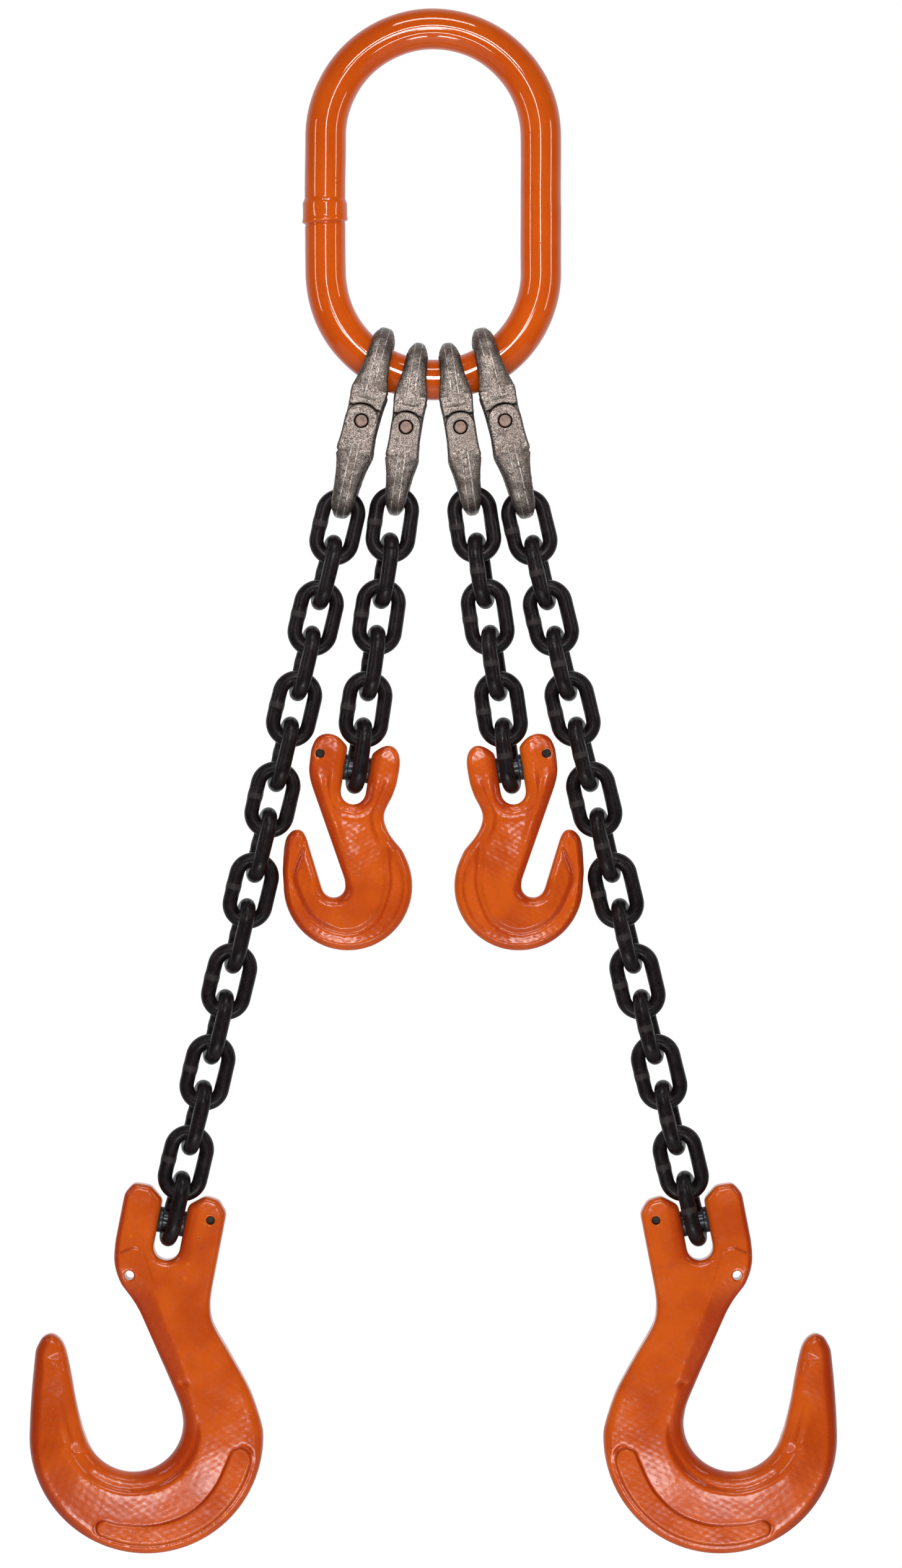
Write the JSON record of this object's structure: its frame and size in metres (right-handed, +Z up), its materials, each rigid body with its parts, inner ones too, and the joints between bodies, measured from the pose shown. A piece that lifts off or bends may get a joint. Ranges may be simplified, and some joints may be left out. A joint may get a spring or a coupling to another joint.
{
  "type": "four leg chain sling",
  "caption": "Chain sling with an oblong master link, pinned coupling links, black chain legs and orange clevis hooks, two with round bowls and two with narrow grab slots.",
  "frame": {"origin": "middle of the inside of the master link's top bend, where a crane hook carries the sling", "axes": "+Z up, the legs hang side by side in the XZ plane, +X to the right and +Y away from a viewer who faces the sling"},
  "size_m": [0.5248, 0.051, 1.0038],
  "materials": {
    "orange_paint": "gloss orange paint over forged steel",
    "forged_steel": "bare forged steel, dull and grainy",
    "black_chain": "black satin lacquer"
  },
  "bodies": {
    "master_link": {"master_link": "orange_paint"},
    "leg1_coupling_upper": {"leg1_coupling_upper": "forged_steel"},
    "leg1_coupling_lower": {"leg1_coupling_lower": "forged_steel"},
    "leg1_link_01": {"leg1_link_01": "black_chain"},
    "leg1_link_02": {"leg1_link_02": "black_chain"},
    "leg1_link_03": {"leg1_link_03": "black_chain"},
    "leg1_link_04": {"leg1_link_04": "black_chain"},
    "leg1_link_05": {"leg1_link_05": "black_chain"},
    "leg1_link_06": {"leg1_link_06": "black_chain"},
    "leg1_link_07": {"leg1_link_07": "black_chain"},
    "leg1_link_08": {"leg1_link_08": "black_chain"},
    "leg1_link_09": {"leg1_link_09": "black_chain"},
    "leg1_link_10": {"leg1_link_10": "black_chain"},
    "leg1_link_11": {"leg1_link_11": "black_chain"},
    "leg1_link_12": {"leg1_link_12": "black_chain"},
    "leg1_link_13": {"leg1_link_13": "black_chain"},
    "leg1_link_14": {"leg1_link_14": "black_chain"},
    "leg1_link_15": {"leg1_link_15": "black_chain"},
    "leg1_link_16": {"leg1_link_16": "black_chain"},
    "leg1_hook": {"leg1_hook": "orange_paint"},
    "leg2_coupling_upper": {"leg2_coupling_upper": "forged_steel"},
    "leg2_coupling_lower": {"leg2_coupling_lower": "forged_steel"},
    "leg2_link_01": {"leg2_link_01": "black_chain"},
    "leg2_link_02": {"leg2_link_02": "black_chain"},
    "leg2_link_03": {"leg2_link_03": "black_chain"},
    "leg2_link_04": {"leg2_link_04": "black_chain"},
    "leg2_link_05": {"leg2_link_05": "black_chain"},
    "leg2_link_06": {"leg2_link_06": "black_chain"},
    "leg2_hook": {"leg2_hook": "orange_paint"},
    "leg3_coupling_upper": {"leg3_coupling_upper": "forged_steel"},
    "leg3_coupling_lower": {"leg3_coupling_lower": "forged_steel"},
    "leg3_link_01": {"leg3_link_01": "black_chain"},
    "leg3_link_02": {"leg3_link_02": "black_chain"},
    "leg3_link_03": {"leg3_link_03": "black_chain"},
    "leg3_link_04": {"leg3_link_04": "black_chain"},
    "leg3_link_05": {"leg3_link_05": "black_chain"},
    "leg3_link_06": {"leg3_link_06": "black_chain"},
    "leg3_hook": {"leg3_hook": "orange_paint"},
    "leg4_coupling_upper": {"leg4_coupling_upper": "forged_steel"},
    "leg4_coupling_lower": {"leg4_coupling_lower": "forged_steel"},
    "leg4_link_01": {"leg4_link_01": "black_chain"},
    "leg4_link_02": {"leg4_link_02": "black_chain"},
    "leg4_link_03": {"leg4_link_03": "black_chain"},
    "leg4_link_04": {"leg4_link_04": "black_chain"},
    "leg4_link_05": {"leg4_link_05": "black_chain"},
    "leg4_link_06": {"leg4_link_06": "black_chain"},
    "leg4_link_07": {"leg4_link_07": "black_chain"},
    "leg4_link_08": {"leg4_link_08": "black_chain"},
    "leg4_link_09": {"leg4_link_09": "black_chain"},
    "leg4_link_10": {"leg4_link_10": "black_chain"},
    "leg4_link_11": {"leg4_link_11": "black_chain"},
    "leg4_link_12": {"leg4_link_12": "black_chain"},
    "leg4_link_13": {"leg4_link_13": "black_chain"},
    "leg4_link_14": {"leg4_link_14": "black_chain"},
    "leg4_link_15": {"leg4_link_15": "black_chain"},
    "leg4_link_16": {"leg4_link_16": "black_chain"},
    "leg4_hook": {"leg4_hook": "orange_paint"}
  },
  "joints": [
    {"name": "leg1_coupling_upper_swing_on_bar", "type": "hinge", "parent": "master_link", "child": "leg1_coupling_upper", "pos_m": [-0.03625, 0, -0.20467], "axis": [0.9659, 0, -0.2588], "range_deg": [-75, 75]},
    {"name": "leg1_coupling_lower_turn_on_pin", "type": "hinge", "parent": "leg1_coupling_upper", "child": "leg1_coupling_lower", "pos_m": [-0.04644, 0, -0.24269], "axis": [0, 1, 0], "range_deg": [0, 75]},
    {"name": "leg1_link_01_turn", "type": "hinge", "parent": "leg1_coupling_lower", "child": "leg1_link_01", "pos_m": [-0.06008, 0, -0.30086], "axis": [0, 1, 0], "range_deg": [0, 45]},
    {"name": "leg1_link_02_turn", "type": "hinge", "parent": "leg1_link_01", "child": "leg1_link_02", "pos_m": [-0.06713, 0, -0.33043], "axis": [0.9555, 0.1874, -0.2276], "range_deg": [-45, 45]},
    {"name": "leg1_link_03_turn", "type": "hinge", "parent": "leg1_link_02", "child": "leg1_link_03", "pos_m": [-0.07416, 0, -0.35996], "axis": [0, -1, 0], "range_deg": [-45, 0]},
    {"name": "leg1_link_04_turn", "type": "hinge", "parent": "leg1_link_03", "child": "leg1_link_04", "pos_m": [-0.08119, 0, -0.38948], "axis": [-0.9555, -0.1874, 0.2276], "range_deg": [-45, 45]},
    {"name": "leg1_link_05_turn", "type": "hinge", "parent": "leg1_link_04", "child": "leg1_link_05", "pos_m": [-0.08823, 0, -0.41901], "axis": [0, 1, 0], "range_deg": [0, 45]},
    {"name": "leg1_link_06_turn", "type": "hinge", "parent": "leg1_link_05", "child": "leg1_link_06", "pos_m": [-0.09526, 0, -0.44853], "axis": [0.9555, 0.1874, -0.2276], "range_deg": [-45, 45]},
    {"name": "leg1_link_07_turn", "type": "hinge", "parent": "leg1_link_06", "child": "leg1_link_07", "pos_m": [-0.10229, 0, -0.47805], "axis": [0, -1, 0], "range_deg": [-45, 1]},
    {"name": "leg1_link_08_turn", "type": "hinge", "parent": "leg1_link_07", "child": "leg1_link_08", "pos_m": [-0.10933, 0, -0.50758], "axis": [-0.9555, -0.1874, 0.2276], "range_deg": [-45, 45]},
    {"name": "leg1_link_09_turn", "type": "hinge", "parent": "leg1_link_08", "child": "leg1_link_09", "pos_m": [-0.11636, 0, -0.5371], "axis": [0, 1, 0], "range_deg": [-25, 45]},
    {"name": "leg1_link_10_turn", "type": "hinge", "parent": "leg1_link_09", "child": "leg1_link_10", "pos_m": [-0.1234, 0, -0.56662], "axis": [0.9555, 0.1874, -0.2276], "range_deg": [-45, 45]},
    {"name": "leg1_link_11_turn", "type": "hinge", "parent": "leg1_link_10", "child": "leg1_link_11", "pos_m": [-0.13043, 0, -0.59615], "axis": [0, -1, 0], "range_deg": [-45, 43]},
    {"name": "leg1_link_12_turn", "type": "hinge", "parent": "leg1_link_11", "child": "leg1_link_12", "pos_m": [-0.13746, 0, -0.62567], "axis": [-0.9555, -0.1874, 0.2276], "range_deg": [-45, 45]},
    {"name": "leg1_link_13_turn", "type": "hinge", "parent": "leg1_link_12", "child": "leg1_link_13", "pos_m": [-0.1445, 0, -0.65519], "axis": [0, 1, 0], "range_deg": [-45, 45]},
    {"name": "leg1_link_14_turn", "type": "hinge", "parent": "leg1_link_13", "child": "leg1_link_14", "pos_m": [-0.15153, 0, -0.68472], "axis": [0.9555, 0.1874, -0.2276], "range_deg": [-45, 45]},
    {"name": "leg1_link_15_turn", "type": "hinge", "parent": "leg1_link_14", "child": "leg1_link_15", "pos_m": [-0.15856, 0, -0.71424], "axis": [0, -1, 0], "range_deg": [-45, 45]},
    {"name": "leg1_link_16_turn", "type": "hinge", "parent": "leg1_link_15", "child": "leg1_link_16", "pos_m": [-0.1656, 0, -0.74377], "axis": [-0.9555, -0.1874, 0.2276], "range_deg": [-35, 35]},
    {"name": "leg1_hook_turn_on_load_pin", "type": "hinge", "parent": "leg1_link_16", "child": "leg1_hook", "pos_m": [-0.1699, 0, -0.76181], "axis": [0.9816, 0, -0.1908], "range_deg": [-18, 18]},
    {"name": "leg2_coupling_upper_swing_on_bar", "type": "hinge", "parent": "master_link", "child": "leg2_coupling_upper", "pos_m": [-0.01245, 0, -0.21368], "axis": [-0.9881, 0, 0.1538], "range_deg": [-75, 75]},
    {"name": "leg2_coupling_lower_turn_on_pin", "type": "hinge", "parent": "leg2_coupling_upper", "child": "leg2_coupling_lower", "pos_m": [-0.01761, 0, -0.24677], "axis": [0, -1, 0], "range_deg": [0, 4]},
    {"name": "leg2_link_01_turn", "type": "hinge", "parent": "leg2_coupling_lower", "child": "leg2_link_01", "pos_m": [-0.02522, 0, -0.29897], "axis": [0, 1, 0], "range_deg": [-5, 0]},
    {"name": "leg2_link_02_turn", "type": "hinge", "parent": "leg2_link_01", "child": "leg2_link_02", "pos_m": [-0.02958, 0, -0.32906], "axis": [0.9721, 0.1874, -0.1408], "range_deg": [-45, 45]},
    {"name": "leg2_link_03_turn", "type": "hinge", "parent": "leg2_link_02", "child": "leg2_link_03", "pos_m": [-0.03393, 0, -0.35909], "axis": [0, -1, 0], "range_deg": [0, 7]},
    {"name": "leg2_link_04_turn", "type": "hinge", "parent": "leg2_link_03", "child": "leg2_link_04", "pos_m": [-0.03828, 0, -0.38913], "axis": [-0.9721, -0.1874, 0.1408], "range_deg": [-45, 45]},
    {"name": "leg2_link_05_turn", "type": "hinge", "parent": "leg2_link_04", "child": "leg2_link_05", "pos_m": [-0.04263, 0, -0.41917], "axis": [0, 1, 0], "range_deg": [-11, 0]},
    {"name": "leg2_link_06_turn", "type": "hinge", "parent": "leg2_link_05", "child": "leg2_link_06", "pos_m": [-0.04698, 0, -0.44921], "axis": [0.9721, 0.1874, -0.1408], "range_deg": [-45, 37]},
    {"name": "leg2_hook_turn_on_load_pin", "type": "hinge", "parent": "leg2_link_06", "child": "leg2_hook", "pos_m": [-0.04964, 0, -0.46756], "axis": [-0.9877, 0, 0.1564], "range_deg": [-75, 75]},
    {"name": "leg3_coupling_upper_swing_on_bar", "type": "hinge", "parent": "master_link", "child": "leg3_coupling_upper", "pos_m": [0.01245, 0, -0.21368], "axis": [0.9881, 0, 0.1538], "range_deg": [-75, 75]},
    {"name": "leg3_coupling_lower_turn_on_pin", "type": "hinge", "parent": "leg3_coupling_upper", "child": "leg3_coupling_lower", "pos_m": [0.01761, 0, -0.24677], "axis": [0, 1, 0], "range_deg": [0, 4]},
    {"name": "leg3_link_01_turn", "type": "hinge", "parent": "leg3_coupling_lower", "child": "leg3_link_01", "pos_m": [0.02522, 0, -0.29897], "axis": [0, -1, 0], "range_deg": [-5, 0]},
    {"name": "leg3_link_02_turn", "type": "hinge", "parent": "leg3_link_01", "child": "leg3_link_02", "pos_m": [0.02958, 0, -0.32906], "axis": [0.9721, -0.1874, 0.1408], "range_deg": [-45, 45]},
    {"name": "leg3_link_03_turn", "type": "hinge", "parent": "leg3_link_02", "child": "leg3_link_03", "pos_m": [0.03393, 0, -0.35909], "axis": [0, 1, 0], "range_deg": [0, 7]},
    {"name": "leg3_link_04_turn", "type": "hinge", "parent": "leg3_link_03", "child": "leg3_link_04", "pos_m": [0.03828, 0, -0.38913], "axis": [-0.9721, 0.1874, -0.1408], "range_deg": [-45, 45]},
    {"name": "leg3_link_05_turn", "type": "hinge", "parent": "leg3_link_04", "child": "leg3_link_05", "pos_m": [0.04263, 0, -0.41917], "axis": [0, -1, 0], "range_deg": [-11, 0]},
    {"name": "leg3_link_06_turn", "type": "hinge", "parent": "leg3_link_05", "child": "leg3_link_06", "pos_m": [0.04698, 0, -0.44921], "axis": [0.9721, -0.1874, 0.1408], "range_deg": [-45, 37]},
    {"name": "leg3_hook_turn_on_load_pin", "type": "hinge", "parent": "leg3_link_06", "child": "leg3_hook", "pos_m": [0.04964, 0, -0.46756], "axis": [-0.9877, 0, -0.1564], "range_deg": [-75, 75]},
    {"name": "leg4_coupling_upper_swing_on_bar", "type": "hinge", "parent": "master_link", "child": "leg4_coupling_upper", "pos_m": [0.03625, 0, -0.20467], "axis": [-0.9659, 0, -0.2588], "range_deg": [-75, 75]},
    {"name": "leg4_coupling_lower_turn_on_pin", "type": "hinge", "parent": "leg4_coupling_upper", "child": "leg4_coupling_lower", "pos_m": [0.04644, 0, -0.24269], "axis": [0, -1, 0], "range_deg": [0, 75]},
    {"name": "leg4_link_01_turn", "type": "hinge", "parent": "leg4_coupling_lower", "child": "leg4_link_01", "pos_m": [0.06008, 0, -0.30086], "axis": [0, -1, 0], "range_deg": [0, 45]},
    {"name": "leg4_link_02_turn", "type": "hinge", "parent": "leg4_link_01", "child": "leg4_link_02", "pos_m": [0.06713, 0, -0.33043], "axis": [0.9555, -0.1874, 0.2276], "range_deg": [-45, 45]},
    {"name": "leg4_link_03_turn", "type": "hinge", "parent": "leg4_link_02", "child": "leg4_link_03", "pos_m": [0.07416, 0, -0.35996], "axis": [0, 1, 0], "range_deg": [-45, 0]},
    {"name": "leg4_link_04_turn", "type": "hinge", "parent": "leg4_link_03", "child": "leg4_link_04", "pos_m": [0.08119, 0, -0.38948], "axis": [-0.9555, 0.1874, -0.2276], "range_deg": [-45, 45]},
    {"name": "leg4_link_05_turn", "type": "hinge", "parent": "leg4_link_04", "child": "leg4_link_05", "pos_m": [0.08823, 0, -0.41901], "axis": [0, -1, 0], "range_deg": [0, 45]},
    {"name": "leg4_link_06_turn", "type": "hinge", "parent": "leg4_link_05", "child": "leg4_link_06", "pos_m": [0.09526, 0, -0.44853], "axis": [0.9555, -0.1874, 0.2276], "range_deg": [-45, 45]},
    {"name": "leg4_link_07_turn", "type": "hinge", "parent": "leg4_link_06", "child": "leg4_link_07", "pos_m": [0.10229, 0, -0.47805], "axis": [0, 1, 0], "range_deg": [-45, 1]},
    {"name": "leg4_link_08_turn", "type": "hinge", "parent": "leg4_link_07", "child": "leg4_link_08", "pos_m": [0.10933, 0, -0.50758], "axis": [-0.9555, 0.1874, -0.2276], "range_deg": [-45, 45]},
    {"name": "leg4_link_09_turn", "type": "hinge", "parent": "leg4_link_08", "child": "leg4_link_09", "pos_m": [0.11636, 0, -0.5371], "axis": [0, -1, 0], "range_deg": [-25, 45]},
    {"name": "leg4_link_10_turn", "type": "hinge", "parent": "leg4_link_09", "child": "leg4_link_10", "pos_m": [0.1234, 0, -0.56662], "axis": [0.9555, -0.1874, 0.2276], "range_deg": [-45, 45]},
    {"name": "leg4_link_11_turn", "type": "hinge", "parent": "leg4_link_10", "child": "leg4_link_11", "pos_m": [0.13043, 0, -0.59615], "axis": [0, 1, 0], "range_deg": [-45, 43]},
    {"name": "leg4_link_12_turn", "type": "hinge", "parent": "leg4_link_11", "child": "leg4_link_12", "pos_m": [0.13746, 0, -0.62567], "axis": [-0.9555, 0.1874, -0.2276], "range_deg": [-45, 45]},
    {"name": "leg4_link_13_turn", "type": "hinge", "parent": "leg4_link_12", "child": "leg4_link_13", "pos_m": [0.1445, 0, -0.65519], "axis": [0, -1, 0], "range_deg": [-45, 45]},
    {"name": "leg4_link_14_turn", "type": "hinge", "parent": "leg4_link_13", "child": "leg4_link_14", "pos_m": [0.15153, 0, -0.68472], "axis": [0.9555, -0.1874, 0.2276], "range_deg": [-45, 45]},
    {"name": "leg4_link_15_turn", "type": "hinge", "parent": "leg4_link_14", "child": "leg4_link_15", "pos_m": [0.15856, 0, -0.71424], "axis": [0, 1, 0], "range_deg": [-45, 45]},
    {"name": "leg4_link_16_turn", "type": "hinge", "parent": "leg4_link_15", "child": "leg4_link_16", "pos_m": [0.1656, 0, -0.74377], "axis": [-0.9555, 0.1874, -0.2276], "range_deg": [-35, 35]},
    {"name": "leg4_hook_turn_on_load_pin", "type": "hinge", "parent": "leg4_link_16", "child": "leg4_hook", "pos_m": [0.1699, 0, -0.76181], "axis": [0.9816, 0, 0.1908], "range_deg": [-18, 18]}
  ]
}
